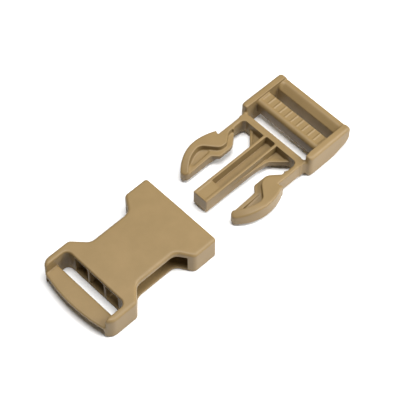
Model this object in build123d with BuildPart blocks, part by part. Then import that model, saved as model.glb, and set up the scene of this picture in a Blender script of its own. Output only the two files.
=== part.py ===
from build123d import *
from math import asin, cos, degrees, radians, sin
import os

# A side release buckle, unfastened, with its plug lying in line with its socket.
# Millimetres. +X runs from the socket to the plug, along the plug's travel, +Z is up,
# and the origin is under the middle of the whole object, on the surface it lies on.

# Strap
webbing_width = 25.4
strap_play = 1.25
strap_slot = 4.3
slot_corner = 2.2

# Socket, lengths measured back from its mouth face
socket_length = 49.0
socket_height = 9.8
floor_plate = 1.0
cavity_height = 6.6
shoulder_half = 16.85
shoulder_wall = 2.2
shoulder_length = 9.9
waist_half = 11.0
waist_front = 13.6
bar_depth = 6.9
hip_run = 5.0
slot_land = 2.7
loop_wall = 2.45
loop_corner = 3.8
loop_drop = 4.0
mouth_corner = 1.2
outline_bend = 2.0
waist_bend = 3.5
bar_bulge = 2.3
bar_bottom = 2.1
bar_height = 3.3
rear_roof = 1.5
rear_opening_half = 10.2
rear_rib = 1.1
rear_rib_offset = 3.9
rear_rib_length = 3.2
top_round = 1.1
bottom_round = 0.6
slot_round = 0.6
bar_round = 0.9

# How the halves lie and fit
apart = 8.5
seat_gap = 1.5
catch_play = 0.25
fit_play = 0.2
head_room = 1.2

# Plug frame, lengths measured back from the front of its side rails
rail_length = 20.1
rail_height = 10.3
rail_wall = 2.75
rail_round = 1.2
rail_flat = 12.0
rail_heel_rise = 3.3
rail_heel_round = 3.8
rail_belly_round = 14.0
rail_tail_round = 1.8
base_bar_front = 2.5
base_bar_back = 0.1
rail_cheek = 1.9
bar_seat = 0.5
adjuster_front = 5.0
adjuster_length = 6.2
adjuster_top = 9.3
adjuster_band = 2.1
adjuster_foot = 3.2
adjuster_heel = 4.6
adjuster_nose = 1.5
panel_depth = 0.25
rib_width = 0.5
rib_pitch = 2.67
rib_count = 9
end_bar_depth = 4.4
end_bar_lean = 0.7
end_bar_top = 9.2
end_bar_foot = 1.0
end_bar_heel = 6.0
end_bar_brow = 2.2
end_bar_inset = 0.1
bar_edge = 0.4

# Tongue
tongue_reach = 35.7
tongue_half = 3.1
tongue_rim = 1.0
tongue_block = 7.7
tongue_corner = 0.5
block_drop = 0.2
channel_depth = 3.8
channel_corner = 0.6
web_rise = 1.0
web_thickness = 2.3
web_lead = 11.0
web_middle = 22.0
web_edge = 3.6
web_waist = 4.3
web_flare = 9.6
web_flare_run = 5.3
web_bend = 4.0
web_lip = 0.8
web_lip_height = 0.7

# Prongs
arm_thickness = 1.85
arm_seat_play = 0.12
arm_seat_depth = 0.2
head_peak_back = 8.0
head_bulge = 3.55
barb = 1.7
head_front_radius = 15.2
head_front_sweep = 46.0
head_nose_radius = 1.7
lobe_depth = 4.4
lobe_undercut = 2.2
lobe_front = 5.3
lobe_tail = 0.8
lobe_slope = 2.0
lobe_flank = 5.1
lobe_bend = 1.5
lobe_tail_bend = 4.0
head_rim = 2.8
head_step = 2.1
ledge_flat = 7.0
ledge_fall = 1.1
step_front = 8.0
step_waist = 3.4
step_turn = 0.6
step_rise = 2.8
step_tail = 5.0
step_inset = 1.4
step_bend = 1.5
step_waist_bend = 3.0
step_tail_inset = 0.3
step_end_bend = 3.0
ramp_start = 9.5
ramp_drop = 3.1
ramp_spare = 1.1
pocket_drop = 1.6
pocket_lift = 5.5
pocket_run = 8.0
pocket_corner = 0.8
inner_rim = 1.5
head_round = 0.6
head_foot_round = 0.4

strap_half = webbing_width / 2 + strap_play
loop_half = strap_half + loop_wall
cavity_half = shoulder_half - shoulder_wall
cavity_top = floor_plate + cavity_height
prong_bottom = floor_plate + fit_play
prong_top = cavity_top - fit_play
prong_height = prong_top - prong_bottom

total_length = socket_length + apart + tongue_reach + rail_length
mouth_x = socket_length - total_length / 2
rail_x = mouth_x + apart + tongue_reach
plug_end_x = rail_x + rail_length
tip_x = rail_x - tongue_reach
adjuster_x = rail_x + adjuster_front
base_x = rail_x - base_bar_front

# The slope behind the shoulder meets the inside of the shoulder's wall at the catch
slope = (waist_front - shoulder_length) / (shoulder_half - waist_half)
catch_back = shoulder_length + (shoulder_half - cavity_half) * slope
waist_x = mouth_x - waist_front
socket_end_x = mouth_x - socket_length
bar_x = socket_end_x + bar_depth
slot_x = bar_x + strap_slot
hip_x = slot_x + slot_land
waist_end_x = hip_x + hip_run

bar_top = bar_bottom + bar_height
rear_opening_height = socket_height - rear_roof - floor_plate

arm_outer = cavity_half - fit_play
arm_inner = arm_outer - arm_thickness
arm_middle = arm_outer - arm_thickness / 2
head_peak = arm_outer + head_bulge
head_notch = arm_outer + barb
lobe_inner = arm_inner - lobe_depth
hinge_x = base_x + arm_seat_depth
notch_back = catch_back + catch_play + seat_gap
notch_x = rail_x - notch_back
peak_x = notch_x - head_peak_back
nose_x = peak_x - head_front_radius * sin(radians(head_front_sweep))
nose_rise = cos(radians(head_front_sweep))
inner_y = head_peak - head_front_radius * (1 - nose_rise) - head_nose_radius * (1 + nose_rise)
head_reach = notch_x - nose_x + head_nose_radius * (1 - sin(radians(head_front_sweep)))
ramp_length = head_reach + ramp_spare - ramp_start
cavity_end_x = mouth_x + seat_gap - notch_back - head_reach - head_room

# How edges and faces are told apart
touch = 0.01
upward = 0.2

os.makedirs("parts", exist_ok=True)


def plate(x_from, x_to, half_width):
    """A rectangle in plan, centred on the object's middle line."""
    with Locations(((x_from + x_to) / 2, 0)):
        Rectangle(x_to - x_from, 2 * half_width)


def crown(part, above):
    """The edges of the faces that look upwards and lie above a height, each one once."""
    edges = []
    for face in part.faces():
        if face.normal_at().Z > upward and face.center().Z > above:
            for edge in face.edges():
                if not any((edge.center() - other.center()).length < touch for other in edges):
                    edges.append(edge)
    return edges


def along_y(edge, x):
    """Whether an edge is a line across the object at one place along it."""
    return abs(edge.center().X - x) < touch and edge.bounding_box().size.X < touch


def in_loop(edge):
    """Whether an edge of the socket belongs to the opening in its loop."""
    return abs(edge.center().Y) < strap_half + touch and edge.center().X < slot_x + touch


def bar_edges(part, top):
    """The long edges of the strap bar up to a height."""
    long_edges = [edge for edge in part.edges() if in_loop(edge) and edge.length > strap_half]
    return [edge for edge in long_edges if edge.center().Z < top + touch]


with BuildPart() as socket:
    with BuildSketch() as plan:
        with BuildLine():
            side = FilletPolyline(
                (mouth_x, 0),
                (mouth_x, shoulder_half),
                (mouth_x - shoulder_length, shoulder_half),
                (waist_x, waist_half),
                (waist_end_x, waist_half),
                (hip_x, loop_half),
                (socket_end_x + bar_bulge, loop_half),
                radius=[mouth_corner, outline_bend, waist_bend, waist_bend, outline_bend],
            )
            bulge_radius = (loop_half**2 + bar_bulge**2) / (2 * bar_bulge)
            rear = RadiusArc(side @ 1, (socket_end_x, 0), -bulge_radius)
            Line(rear @ 1, side @ 0)
        make_face()
        mirror(about=Plane.XZ)
        fillet(plan.vertices().group_by(Axis.X)[0], loop_corner)
    extrude(amount=socket_height)

    # The loop's side walls round down to the strap bar at their rear ends
    with BuildSketch(Plane.XZ):
        with BuildLine():
            drop_start = (socket_end_x + loop_drop, socket_height)
            drop_end = (socket_end_x, socket_height - loop_drop)
            RadiusArc(drop_start, drop_end, -loop_drop)
            Polyline(
                drop_end,
                (socket_end_x - loop_drop, socket_height - loop_drop),
                (socket_end_x - loop_drop, socket_height + loop_drop),
                (socket_end_x + loop_drop, socket_height + loop_drop),
                drop_start,
            )
        make_face()
    extrude(amount=2 * loop_half, both=True, mode=Mode.SUBTRACT)

    # The loop is open over its strap bar
    with BuildSketch(Plane.XY.offset(bar_top)) as over_bar:
        plate(socket_end_x - loop_corner, slot_x, strap_half)
        fillet(over_bar.vertices().group_by(Axis.X)[-1], slot_corner)
    extrude(amount=socket_height, mode=Mode.SUBTRACT)
    for inner, size in ((False, top_round), (True, slot_round)):
        rim = [e for e in crown(socket, (bar_top + socket_height) / 2) if not along_y(e, drop_start[0])]
        fillet([e for e in rim if in_loop(e) == inner], size)
    fillet(socket.edges().group_by(Axis.Z)[0], bottom_round)

    # The strap slot, and the room under the bar
    with BuildSketch() as slot_plan:
        plate(bar_x, slot_x, strap_half)
        fillet(slot_plan.vertices().group_by(Axis.X)[-1], slot_corner)
    extrude(amount=bar_top, mode=Mode.SUBTRACT)
    with BuildSketch():
        plate(socket_end_x - loop_corner, bar_x, strap_half)
    extrude(amount=bar_bottom, mode=Mode.SUBTRACT)

    # The bar is round at its inner edges and at its lower outer edge
    fillet([e for e in bar_edges(socket, bar_top) if along_y(e, bar_x)], bar_round)
    fillet([e for e in bar_edges(socket, bar_bottom) if e.center().X < bar_x - bar_round], bar_round)

    # The cavity for the plug, open at the mouth and at both sides of the waist
    with BuildSketch(Plane.XY.offset(floor_plate)):
        plate(cavity_end_x, mouth_x + mouth_corner, cavity_half)
    extrude(amount=cavity_height, mode=Mode.SUBTRACT)
    with BuildSketch(Plane.XY.offset(floor_plate)):
        plate(slot_x - mouth_corner, cavity_end_x, rear_opening_half)
    extrude(amount=rear_opening_height, mode=Mode.SUBTRACT)
    with BuildSketch(Plane.XY.offset(floor_plate)):
        with Locations((slot_x + rear_rib_length / 2, 0)):
            with GridLocations(0, 2 * rear_rib_offset, 1, 2):
                Rectangle(rear_rib_length, rear_rib)
    extrude(amount=rear_opening_height)

socket.part.label = "socket"
export_step(socket.part, "parts/socket.step")


with BuildPart() as plug_frame:
    # One side rail: its underside lifts towards the rear
    with BuildSketch(Plane.XZ.offset(strap_half)):
        with BuildLine():
            FilletPolyline(
                (rail_x, 0),
                (rail_x + rail_flat, 0),
                (plug_end_x, rail_heel_rise),
                (plug_end_x, rail_height),
                (rail_x, rail_height),
                radius=[bar_edge, rail_belly_round, rail_heel_round, rail_tail_round, bar_edge],
                close=True,
            )
        make_face()
    extrude(amount=rail_wall)
    outer_face = plug_frame.faces().sort_by(Axis.Y)[0]
    fillet([e for e in outer_face.edges() if e.center().X > rail_x + bar_edge], rail_round)
    mirror(about=Plane.XZ)

    # Base bar, with an ear at each end that blends into the front of the rail
    with BuildSketch(Plane.XY.offset(prong_bottom)):
        with BuildLine():
            front_edge = Polyline((base_x, 0), (base_x, arm_outer), (rail_x - rail_cheek, arm_outer))
            cheek = JernArc(front_edge @ 1, (1, 0), rail_cheek, 90)
            base_back_x = rail_x + base_bar_back
            Polyline(cheek @ 1, (base_back_x, arm_outer + rail_cheek), (base_back_x, 0), (base_x, 0))
        make_face()
        mirror(about=Plane.XZ)
    extrude(amount=prong_height)

    # Adjuster bar: a rounded nose, and a top with ribs between sunk panels
    with BuildSketch(Plane.XZ):
        with BuildLine():
            FilletPolyline(
                (adjuster_x + bar_edge, adjuster_foot),
                (adjuster_x, adjuster_top),
                (adjuster_x + adjuster_length, adjuster_top),
                (adjuster_x + adjuster_length, adjuster_heel),
                radius=[bar_edge, adjuster_nose, bar_edge, bar_edge],
                close=True,
            )
        make_face()
    extrude(amount=strap_half + bar_seat, both=True)
    with BuildSketch(Plane.XY.offset(adjuster_top - panel_depth)):
        with Locations((adjuster_x + adjuster_band, 0)):
            with GridLocations(0, rib_pitch, 1, rib_count + 1):
                panel_width = rib_pitch - rib_width
                Rectangle(adjuster_length, panel_width, align=(Align.MIN, Align.CENTER))
    extrude(amount=panel_depth, mode=Mode.SUBTRACT)

    # End bar
    with BuildSketch(Plane.XZ):
        with BuildLine():
            FilletPolyline(
                (plug_end_x - end_bar_depth - end_bar_lean, end_bar_foot),
                (plug_end_x - end_bar_depth, end_bar_top),
                (plug_end_x - end_bar_inset, end_bar_top),
                (plug_end_x - end_bar_inset, end_bar_heel),
                radius=[bar_edge, end_bar_brow, 2 * bar_edge, 2 * bar_edge],
                close=True,
            )
        make_face()
    extrude(amount=strap_half + bar_seat, both=True)

    # Tongue, with its channel and its side webs
    with BuildSketch(Plane.XY.offset(prong_bottom)):
        plate(tip_x, base_x + bar_edge, tongue_half)
    extrude(amount=prong_height)
    with BuildSketch(Plane.XY.offset(prong_top - block_drop)):
        plate(tip_x + tongue_corner, tip_x + tongue_block + tongue_corner, tongue_half - tongue_rim)
    extrude(amount=block_drop, mode=Mode.SUBTRACT)
    with BuildSketch(Plane.XY.offset(prong_bottom + web_rise)) as web:
        with BuildLine():
            FilletPolyline(
                (tip_x + web_lead, 0),
                (tip_x + web_lead, tongue_half),
                (tip_x + web_middle, web_edge),
                (base_x - web_flare_run, web_waist),
                (base_x, web_flare),
                (base_x + bar_edge, web_flare),
                (base_x + bar_edge, 0),
                radius=[0, web_bend, web_bend, 0, 0],
            )
            Line((base_x + bar_edge, 0), (tip_x + web_lead, 0))
        make_face()
        mirror(about=Plane.XZ)
    extrude(amount=web_thickness)

    # The channel along the tongue's top
    with BuildSketch(Plane.XY.offset(prong_top - channel_depth)) as channel:
        plate(tip_x + tongue_block, base_x + bar_edge, tongue_half - tongue_rim)
        fillet(channel.vertices().group_by(Axis.X)[-1], channel_corner)
    extrude(amount=channel_depth, mode=Mode.SUBTRACT)

    # Each web has a recess inside its edge
    with BuildSketch(Plane.XY.offset(prong_bottom + web_rise + web_thickness)):
        with BuildLine():
            Polyline(
                (base_x, tongue_half),
                (base_x - web_flare_run, tongue_half),
                (base_x, web_flare - 2 * web_lip),
                close=True,
            )
        make_face()
        mirror(about=Plane.XZ)
    extrude(amount=-web_lip_height, mode=Mode.SUBTRACT)

    # The seats of the arms
    with BuildSketch(Plane.XY.offset(prong_bottom)):
        with Locations((hinge_x, arm_middle), (hinge_x, -arm_middle)):
            Circle(arm_thickness / 2 + arm_seat_play)
    extrude(amount=prong_height, mode=Mode.SUBTRACT)

plug_frame.part.label = "plug_frame"
export_step(plug_frame.part, "parts/plug_frame.step")


# The room over the ledge in a prong's head: its floor slopes down towards the nose
rim_radius = head_front_radius - head_rim
rim_centre_y = head_peak - head_front_radius
step_front_y = rim_centre_y + (rim_radius**2 - (step_front - head_peak_back) ** 2) ** 0.5
ledge_z = prong_top - head_step
with BuildPart() as ledge_room:
    with BuildSketch(Plane.XY.offset(ledge_z - ledge_fall)) as ledge:
        with BuildLine():
            step = FilletPolyline(
                (notch_x - step_front, step_front_y),
                (notch_x - step_waist, lobe_inner + step_inset),
                (notch_x - step_turn, lobe_inner + step_inset),
                (notch_x + step_rise, arm_inner - step_tail_inset),
                (notch_x + step_tail, arm_inner),
                radius=[step_waist_bend, step_bend, step_bend],
            )
            rim_end_y = lobe_inner - inner_rim
            rim_end_x = peak_x - (rim_radius**2 - (rim_end_y - rim_centre_y) ** 2) ** 0.5
            RadiusArc(step @ 0, (rim_end_x, rim_end_y), -rim_radius)
            Polyline((rim_end_x, rim_end_y), ((step @ 1).X, rim_end_y), step @ 1)
        make_face()
        fillet(ledge.vertices().sort_by_distance(step @ 0)[0], step_end_bend)
    extrude(amount=ledge_fall + head_step)
    with BuildSketch(Plane.XZ):
        with BuildLine():
            Polyline(
                (notch_x - ramp_start - ramp_length, ledge_z - ledge_fall),
                (notch_x - ledge_flat, ledge_z),
                (hinge_x, ledge_z),
                (hinge_x, ledge_z - ledge_fall),
                close=True,
            )
        make_face()
    extrude(amount=2 * head_peak, both=True, mode=Mode.SUBTRACT)


# The pocket in a prong's head: its floor climbs back to the ledge
with BuildPart() as pocket_room:
    with BuildSketch(Plane.XY.offset(ledge_z - pocket_drop)) as pocket:
        add(ledge.sketch)
        with Locations((notch_x - step_waist, inner_y + inner_rim)):
            Rectangle(2 * head_peak, head_peak, align=(Align.MAX, Align.MIN), mode=Mode.INTERSECT)
        fillet(pocket.vertices().group_by(Axis.Y)[0], pocket_corner)
    extrude(amount=pocket_drop + head_step)
    with BuildSketch(Plane.XZ):
        with BuildLine():
            Polyline(
                (notch_x - pocket_lift - pocket_run, ledge_z - pocket_drop),
                (notch_x - pocket_lift, ledge_z),
                (notch_x, ledge_z),
                (notch_x, ledge_z - pocket_drop),
                close=True,
            )
        make_face()
    extrude(amount=2 * head_peak, both=True, mode=Mode.SUBTRACT)


with BuildPart() as left_prong:
    with BuildSketch(Plane.XY.offset(prong_bottom)):
        with BuildLine():
            front = JernArc((peak_x, head_peak), (-1, 0), head_front_radius, head_front_sweep)
            nose = JernArc(front @ 1, front % 1, head_nose_radius, 180 - head_front_sweep)
            inside = FilletPolyline(
                nose @ 1,
                (notch_x - lobe_front - lobe_slope, inner_y),
                (notch_x - lobe_front, lobe_inner),
                (notch_x + lobe_tail, lobe_inner),
                (notch_x + lobe_tail + lobe_flank, arm_inner),
                (hinge_x, arm_inner),
                radius=[lobe_bend, lobe_bend, lobe_tail_bend, lobe_bend],
            )
            Polyline(
                inside @ 1,
                (hinge_x, arm_outer),
                (notch_x, arm_outer),
                (notch_x, head_notch),
            )
            head_drop = head_peak - head_notch
            rear_radius = (head_peak_back**2 + head_drop**2) / (2 * head_drop)
            rear_sweep = degrees(asin(head_peak_back / rear_radius))
            JernArc((peak_x, head_peak), (1, 0), rear_radius, -rear_sweep)
        make_face()
        with Locations((hinge_x, arm_middle)):
            Circle(arm_thickness / 2)
    extrude(amount=prong_height)

    # The head's top curves down to its nose
    with BuildSketch(Plane.XZ):
        with BuildLine():
            ramp_radius = (ramp_length**2 + ramp_drop**2) / (2 * ramp_drop)
            ramp_sweep = degrees(asin(ramp_length / ramp_radius))
            ramp = JernArc((notch_x - ramp_start, prong_top), (-1, 0), ramp_radius, ramp_sweep)
            Polyline(
                ramp @ 1,
                ((ramp @ 1).X, prong_top + head_round),
                (notch_x - ramp_start, prong_top + head_round),
                ramp @ 0,
            )
        make_face()
    extrude(amount=-2 * head_peak, mode=Mode.SUBTRACT)

    head_rim_edges = crown(left_prong, prong_top - ramp_drop)
    fillet([e for e in head_rim_edges if not along_y(e, notch_x - ramp_start)], head_round)
    fillet(left_prong.edges().group_by(Axis.Z)[0], head_foot_round)

    # A ledge inside a curved step, a pocket inside the rim of the head, and the lobe's raised underside
    add(ledge_room.part, mode=Mode.SUBTRACT)
    add(pocket_room.part, mode=Mode.SUBTRACT)
    with BuildSketch(Plane.XY.offset(prong_bottom)):
        with Locations((notch_x - lobe_front - lobe_slope, inner_y - fit_play)):
            undercut_length = lobe_slope + lobe_front + lobe_tail + lobe_flank
            Rectangle(undercut_length, lobe_depth, align=(Align.MIN, Align.MAX))
    extrude(amount=lobe_undercut, mode=Mode.SUBTRACT)

left_prong.part.label = "left_prong"
export_step(left_prong.part, "parts/left_prong.step")


with BuildPart() as right_prong:
    add(mirror(left_prong.part, about=Plane.XZ))

right_prong.part.label = "right_prong"
export_step(right_prong.part, "parts/right_prong.step")
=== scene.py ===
import bmesh
import bpy
from math import cos, hypot, pi, radians, sin
from mathutils import Matrix, Vector


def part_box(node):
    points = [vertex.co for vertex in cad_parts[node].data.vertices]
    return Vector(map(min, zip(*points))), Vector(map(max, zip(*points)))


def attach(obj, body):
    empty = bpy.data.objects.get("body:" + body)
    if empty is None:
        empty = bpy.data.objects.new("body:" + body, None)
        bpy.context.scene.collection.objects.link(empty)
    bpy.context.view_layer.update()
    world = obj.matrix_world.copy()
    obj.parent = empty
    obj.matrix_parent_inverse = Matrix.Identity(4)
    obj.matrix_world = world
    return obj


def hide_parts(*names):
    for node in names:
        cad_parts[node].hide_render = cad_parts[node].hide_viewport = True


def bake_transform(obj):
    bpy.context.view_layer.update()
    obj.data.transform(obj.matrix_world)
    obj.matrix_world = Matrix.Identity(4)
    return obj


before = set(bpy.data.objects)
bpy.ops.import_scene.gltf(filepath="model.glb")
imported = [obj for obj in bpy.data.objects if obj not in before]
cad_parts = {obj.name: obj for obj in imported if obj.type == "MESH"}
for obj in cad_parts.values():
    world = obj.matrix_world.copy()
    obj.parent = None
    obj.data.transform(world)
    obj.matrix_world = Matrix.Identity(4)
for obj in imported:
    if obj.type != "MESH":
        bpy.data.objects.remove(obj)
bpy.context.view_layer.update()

MM = 0.001

# Camera, at the photograph's angle
view_azimuth = radians(-44.254)
view_elevation = radians(56.168)
view_roll = radians(0.238)
view_distance = 546.4 * MM
view_aim = Vector((1.55, 0.146, 4.0)) * MM
view_lens = 146.42
sensor_width = 36
nearest_seen = 10 * MM

# Moulding, in millimetres: the grid that a solid is rebuilt on, and how soft its edges become
socket_grid = 0.15
plug_grid = 0.13
socket_passes = 9
plug_passes = 7
socket_faces = 170000
plug_faces = 240000

# Places in the plug, in millimetres
base_x = 34.05
slot_x = 36.65
slot_half = 13.95
arm_inner = 12.6
arm_outer = 14.45
notch_x = 23.51
barb_half = 16.15
barb_lean = 0.6
head_arc_x = 15.51
head_arc_y = 2.8
end_bar_x = 51.6
brow_front = 51.0
brow_back = 54.5
brow_top = 9.2
brow_drop = 2.3
seat_radius = 1.1
root_round = 1.5
slot_round = 1.0
overlap = 0.4
arc_steps = 8
merge_distance = 0.0005

# Where an arm is cut from the frame, and where it has its full turn
cut_x = 32.3
bend_end_x = 27.0
head_half = 6.3
arm_half = 9.2

# Places in the socket, in millimetres: the rear arc of its loop, and its strap bar
socket_rear_x = -56.6
bar_radius = 62.0
bar_bottom = 2.1
bar_top = 5.4
bar_thin_z = 4.3
bar_thin_width = 3.0
bar_thin_reach = 6.0

# Extra rounding, after the passes over the whole moulding: its passes, and how much of them each place takes
plug_soft_passes = 110
socket_soft_passes = 45
end_bar_share = 1.0
rail_share = 0.9
head_edge_share = 0.31
head_share = 0.16

# Where the extra rounding starts, and where it has its full share
brow_soft_x = (55.2, 54.0)
brow_soft_y = (13.6, 13.0)
brow_soft_z = (5.5, 6.5)
rail_soft_front = (35.05, 35.85)
rail_soft_back = (38.65, 37.65)
rail_soft_y = (12.2, 12.7)
head_soft_z = (1.8, 2.4)
head_edge_reach = (13.0, 14.1)
head_edge_z = (3.6, 4.2)
barb_clearance = 1.0
bar_soft_reach = (60.0, 61.0)
bar_soft_z = (1.6, 2.4)

# Light
floor_size = 6.0
floor_z = -0.02 * MM
floor_white = (0.9, 0.9, 0.9, 1.0)
floor_roughness = 0.9
floor_specular = 0.1
key_azimuth = radians(-50)
key_elevation = radians(40)
key_distance = 0.6
key_power = 5.1
key_size = 0.42
top_elevation = radians(90)
top_distance = 0.7
top_power = 5.9
top_size = 0.35
world_strength = 0.08

# Plastic
tan_dark = (0.192, 0.129, 0.053, 1)
tan_light = (0.212, 0.142, 0.060, 1)
tint_scale = 160
tint_detail = 4
tint_low = 0.3
tint_high = 0.7
grain_scale = 9000
grain_detail = 3
grain_strength = 0.12
grain_depth = 0.02 * MM
roughness = 0.45
specular_level = 0.3


def add_object(name, mesh):
    """An object for a mesh, in the scene."""
    thing = bpy.data.objects.new(name, mesh)
    bpy.context.scene.collection.objects.link(thing)
    return thing


def applied(piece):
    """The piece with its modifiers made part of its mesh."""
    graph = bpy.context.evaluated_depsgraph_get()
    mesh = bpy.data.meshes.new_from_object(piece.evaluated_get(graph))
    old = piece.data
    piece.modifiers.clear()
    piece.data = mesh
    bpy.data.meshes.remove(old)
    return piece


def solid_copy(names):
    """The solids of some nodes in one mesh, in millimetres."""
    bm = bmesh.new()
    for name in names:
        bm.from_mesh(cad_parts[name].data)
    bmesh.ops.scale(bm, vec=Vector((1, 1, 1)) / MM, verts=bm.verts)
    bmesh.ops.remove_doubles(bm, verts=bm.verts, dist=merge_distance)
    return bm


def add_prism(bm, outline, z_low, z_high):
    """An upright solid on an outline in plan, added to a mesh."""
    low = [bm.verts.new((x, y, z_low)) for x, y in outline]
    high = [bm.verts.new((x, y, z_high)) for x, y in outline]
    faces = [bm.faces.new(low), bm.faces.new(high)]
    for i in range(len(outline)):
        j = (i + 1) % len(outline)
        faces.append(bm.faces.new((low[i], low[j], high[j], high[i])))
    bmesh.ops.recalc_face_normals(bm, faces=faces)


def inside_round(corner, way, radius):
    """The outline of a fillet in a corner: way is the direction of the corner's open side, in X and Y."""
    x, y = corner
    centre_x = x + way[0] * radius
    centre_y = y + way[1] * radius
    points = [(x - way[0] * overlap, y - way[1] * overlap), (centre_x, y - way[1] * overlap)]
    for i in range(arc_steps + 1):
        turn = pi / 2 * i / arc_steps
        points.append((centre_x - way[0] * radius * sin(turn), centre_y - way[1] * radius * cos(turn)))
    points.append((x - way[0] * overlap, centre_y))
    return points


def disc(centre, radius):
    """The outline of a circle."""
    steps = 4 * arc_steps
    turns = [2 * pi * i / steps for i in range(steps)]
    return [(centre[0] + radius * cos(turn), centre[1] + radius * sin(turn)) for turn in turns]


def remeshed(name, bm, grid):
    """A mesh rebuilt in one skin."""
    mesh = bpy.data.meshes.new(name)
    bm.to_mesh(mesh)
    bm.free()
    piece = add_object(name, mesh)
    remesh = piece.modifiers.new("skin", "REMESH")
    remesh.mode = "VOXEL"
    remesh.voxel_size = grid
    return applied(piece)


def softened(piece, passes, weight=None):
    """A piece with its edges rounded by smoothing, everywhere or by a weight worked out from each point."""
    smooth = piece.modifiers.new("rounds", "SMOOTH")
    smooth.factor = 0.5
    smooth.iterations = passes
    if weight:
        group = piece.vertex_groups.new(name="soft")
        for vertex in piece.data.vertices:
            share = weight(vertex.co)
            if share > 0:
                group.add([vertex.index], share, "REPLACE")
        smooth.vertex_group = "soft"
    applied(piece)
    piece.vertex_groups.clear()
    return piece


def thinned(piece, faces):
    """A piece with fewer triangles, at its real scale."""
    fewer = piece.modifiers.new("fewer", "DECIMATE")
    fewer.ratio = min(1.0, faces / (2 * len(piece.data.polygons)))
    applied(piece)
    piece.data.transform(Matrix.Scale(MM, 4))
    piece.data.shade_smooth()
    return piece


def fade(value, span):
    """From 0 at the start of a span to 1 at its end."""
    start, end = span
    return max(0.0, min(1.0, (value - start) / (end - start)))


def slope_brow(piece):
    """Lays the upper front of the plug's end bar at a slope."""
    low_z = brow_top - brow_drop
    wall_y = slot_half - overlap
    for vertex in piece.data.vertices:
        point = vertex.co
        if brow_front < point.x < brow_back and point.z > low_z and abs(point.y) < wall_y:
            share = fade(abs(point.y), (wall_y, wall_y - overlap))
            slope_z = brow_top - brow_drop * (brow_back - point.x) / (brow_back - end_bar_x)
            point.z -= share * max(0.0, point.z - slope_z)
    return piece


def lift_rear(piece):
    """Thins the socket's strap bar towards its rear edge, from below."""
    front_x = socket_rear_x + bar_thin_reach
    for vertex in piece.data.vertices:
        point = vertex.co
        if point.x < front_x and point.z < bar_top and abs(point.y) < slot_half:
            share = fade(abs(point.y), (slot_half, slot_half - overlap))
            near = fade(bar_reach(point), (bar_radius - bar_thin_width, bar_radius))
            lowest = bar_bottom + (bar_thin_z - bar_bottom) * near
            point.z += share * max(0.0, lowest - point.z)
    return piece


def bar_reach(point):
    """How far a point of the socket is from the centre of its loop's rear arc."""
    return hypot(point.x - socket_rear_x - bar_radius, point.y)


def plug_softness(point):
    """How much more a point of the plug is rounded: the end bar's brow, the rails' ends, the heads' edges."""
    side = abs(point.y)
    if point.x > end_bar_x:
        across = fade(side, brow_soft_y) * fade(point.z, brow_soft_z)
        return end_bar_share * fade(point.x, brow_soft_x) * across
    if point.x > cut_x:
        along = fade(point.x, rail_soft_front) * fade(point.x, rail_soft_back)
        return rail_share * along * fade(side, rail_soft_y)
    on_barb = point.x > notch_x - barb_clearance and side > arm_outer - barb_clearance
    if on_barb or not in_arms(point):
        return 0
    edge = fade(hypot(point.x - head_arc_x, side - head_arc_y), head_edge_reach)
    edge_share = head_edge_share * edge * fade(point.z, head_edge_z)
    return fade(point.z, head_soft_z) * max(head_share, edge_share)


def socket_softness(point):
    """How much more a point of the socket is rounded: along the rear of its loop and strap bar."""
    return fade(bar_reach(point), bar_soft_reach) * fade(point.z, bar_soft_z)


def in_arms(point):
    """Whether a point of the whole plug is on one of its arms or heads."""
    return point.x < cut_x and abs(point.y) > (head_half if point.x < bend_end_x else arm_half)


def part_of(face):
    """The node that a face of the whole plug belongs to."""
    centre = face.calc_center_median()
    if not in_arms(centre / MM):
        return "plug_frame"
    return "left_prong" if centre.y > 0 else "right_prong"


def split_arms(whole):
    """Cuts the plug at its two arms and gives three closed pieces."""
    bm = bmesh.new()
    bm.from_mesh(whole.data)
    arms = [face for face in bm.faces if abs(face.calc_center_median().y) > arm_half * MM]
    edges = {edge for face in arms for edge in face.edges}
    verts = {vert for face in arms for vert in face.verts}
    bmesh.ops.bisect_plane(
        bm,
        geom=list(verts) + list(edges) + arms,
        plane_co=(cut_x * MM, 0, 0),
        plane_no=(1, 0, 0),
    )
    pieces = {}
    for node in ("plug_frame", "left_prong", "right_prong"):
        part = bm.copy()
        bmesh.ops.delete(part, geom=[face for face in part.faces if part_of(face) != node], context="FACES")
        ring = [edge for edge in part.edges if edge.is_boundary]
        for edge in ring:
            edge.smooth = False
        bmesh.ops.edgeloop_fill(part, edges=ring)
        mesh = bpy.data.meshes.new(node + "_moulding")
        part.to_mesh(mesh)
        part.free()
        pieces[node] = add_object(node + "_moulding", mesh)
    bm.free()
    bpy.data.objects.remove(whole)
    return pieces


def plug():
    """The whole plug in one skin, with the rounds at the roots of its arms, cut where its arms start."""
    bm = solid_copy(["plug_frame", "left_prong", "right_prong"])
    low, high = (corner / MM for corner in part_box("left_prong"))
    hinge_x = high.x - (arm_outer - arm_inner) / 2
    for side in (1, -1):
        add_prism(bm, disc((hinge_x, side * (arm_inner + arm_outer) / 2), seat_radius), low.z, high.z)
        add_prism(bm, inside_round((base_x, side * arm_inner), (-1, -side), root_round), low.z, high.z)
        add_prism(bm, inside_round((slot_x, side * slot_half), (1, -side), slot_round), low.z, high.z)
        barb = [(notch_x - overlap, side * arm_outer), (notch_x, side * arm_outer),
                (notch_x + barb_lean, side * barb_half), (notch_x - overlap, side * barb_half)]
        add_prism(bm, barb, low.z + overlap, high.z - overlap)
    whole = softened(slope_brow(remeshed("plug", bm, plug_grid)), plug_passes)
    return split_arms(thinned(softened(whole, plug_soft_passes, plug_softness), plug_faces))


def socket():
    """The socket in one skin."""
    skin = lift_rear(remeshed("socket_moulding", solid_copy(["socket"]), socket_grid))
    softened(skin, socket_passes)
    return thinned(softened(skin, socket_soft_passes, socket_softness), socket_faces)


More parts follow.
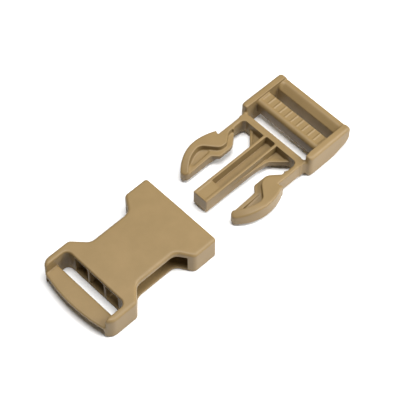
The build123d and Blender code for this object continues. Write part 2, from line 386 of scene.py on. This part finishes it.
def plastic(name):
    """Fine satin moulded plastic in coyote tan."""
    material = bpy.data.materials.new(name)
    material.use_nodes = True
    nodes = material.node_tree.nodes
    links = material.node_tree.links
    shader = nodes["Principled BSDF"]
    place = nodes.new("ShaderNodeTexCoord")
    tint = nodes.new("ShaderNodeTexNoise")
    tint.inputs["Scale"].default_value = tint_scale
    tint.inputs["Detail"].default_value = tint_detail
    ramp = nodes.new("ShaderNodeValToRGB")
    ramp.color_ramp.elements[0].position = tint_low
    ramp.color_ramp.elements[0].color = tan_dark
    ramp.color_ramp.elements[1].position = tint_high
    ramp.color_ramp.elements[1].color = tan_light
    grain = nodes.new("ShaderNodeTexNoise")
    grain.inputs["Scale"].default_value = grain_scale
    grain.inputs["Detail"].default_value = grain_detail
    bump = nodes.new("ShaderNodeBump")
    bump.inputs["Strength"].default_value = grain_strength
    bump.inputs["Distance"].default_value = grain_depth
    links.new(place.outputs["Object"], tint.inputs["Vector"])
    links.new(place.outputs["Object"], grain.inputs["Vector"])
    links.new(tint.outputs["Fac"], ramp.inputs["Fac"])
    links.new(ramp.outputs["Color"], shader.inputs["Base Color"])
    links.new(grain.outputs["Fac"], bump.inputs["Height"])
    links.new(bump.outputs["Normal"], shader.inputs["Normal"])
    shader.inputs["Roughness"].default_value = roughness
    shader.inputs["Specular IOR Level"].default_value = specular_level
    return material


def dress(piece, material):
    """Gives a piece its material."""
    piece.data.materials.clear()
    piece.data.materials.append(material)


def area_light(name, azimuth, elevation, distance, size, power):
    """A soft square light that looks at the object's middle."""
    data = bpy.data.lights.new(name, "AREA")
    data.size = size
    data.energy = power
    lamp = add_object(name, data)
    away = Vector((cos(azimuth) * cos(elevation), sin(azimuth) * cos(elevation), sin(elevation)))
    lamp.location = away * distance
    lamp.rotation_euler = away.to_track_quat("Z", "Y").to_euler()
    return lamp


def studio():
    """A pale floor, a light from the picture's right and a softer one above."""
    bm = bmesh.new()
    bmesh.ops.create_grid(bm, x_segments=1, y_segments=1, size=floor_size / 2)
    mesh = bpy.data.meshes.new("floor")
    bm.to_mesh(mesh)
    bm.free()
    floor = add_object("floor", mesh)
    floor.location.z = floor_z
    paper = bpy.data.materials.new("floor_paper")
    paper.use_nodes = True
    shader = paper.node_tree.nodes["Principled BSDF"]
    shader.inputs["Base Color"].default_value = floor_white
    shader.inputs["Roughness"].default_value = floor_roughness
    shader.inputs["Specular IOR Level"].default_value = floor_specular
    floor.data.materials.append(paper)
    area_light("key", key_azimuth, key_elevation, key_distance, key_size, key_power)
    area_light("top", 0, top_elevation, top_distance, top_size, top_power)
    world = bpy.data.worlds.new("studio")
    world.use_nodes = True
    world.node_tree.nodes["Background"].inputs["Strength"].default_value = world_strength
    world.node_tree.nodes["Background"].inputs["Color"].default_value = (1, 1, 1, 1)
    bpy.context.scene.world = world


def camera():
    """The camera of the photograph."""
    turn, lift = view_azimuth, view_elevation
    right = Vector((cos(turn), sin(turn), 0))
    back = Vector((sin(turn) * cos(lift), -cos(turn) * cos(lift), sin(lift)))
    up = back.cross(right)
    across = right * cos(view_roll) + up * sin(view_roll)
    upwards = up * cos(view_roll) - right * sin(view_roll)
    data = bpy.data.cameras.new("camera")
    data.lens = view_lens
    data.sensor_width = sensor_width
    data.clip_start = nearest_seen
    lens = add_object("camera", data)
    pose = Matrix((across, upwards, back)).transposed().to_4x4()
    pose.translation = view_aim + back * view_distance
    lens.matrix_world = pose
    bpy.context.scene.camera = lens


tan = plastic("tan_plastic")

socket_piece = socket()
dress(socket_piece, tan)
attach(socket_piece, "socket_half")
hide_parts("socket")

plug_pieces = plug()
for node, piece in plug_pieces.items():
    dress(piece, tan)
    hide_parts(node)
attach(plug_pieces["plug_frame"], "plug_half")
for side in ("left", "right"):
    arm = plug_pieces[side + "_prong"]
    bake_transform(arm)

bpy.context.scene.view_settings.view_transform = "Standard"
studio()
camera()
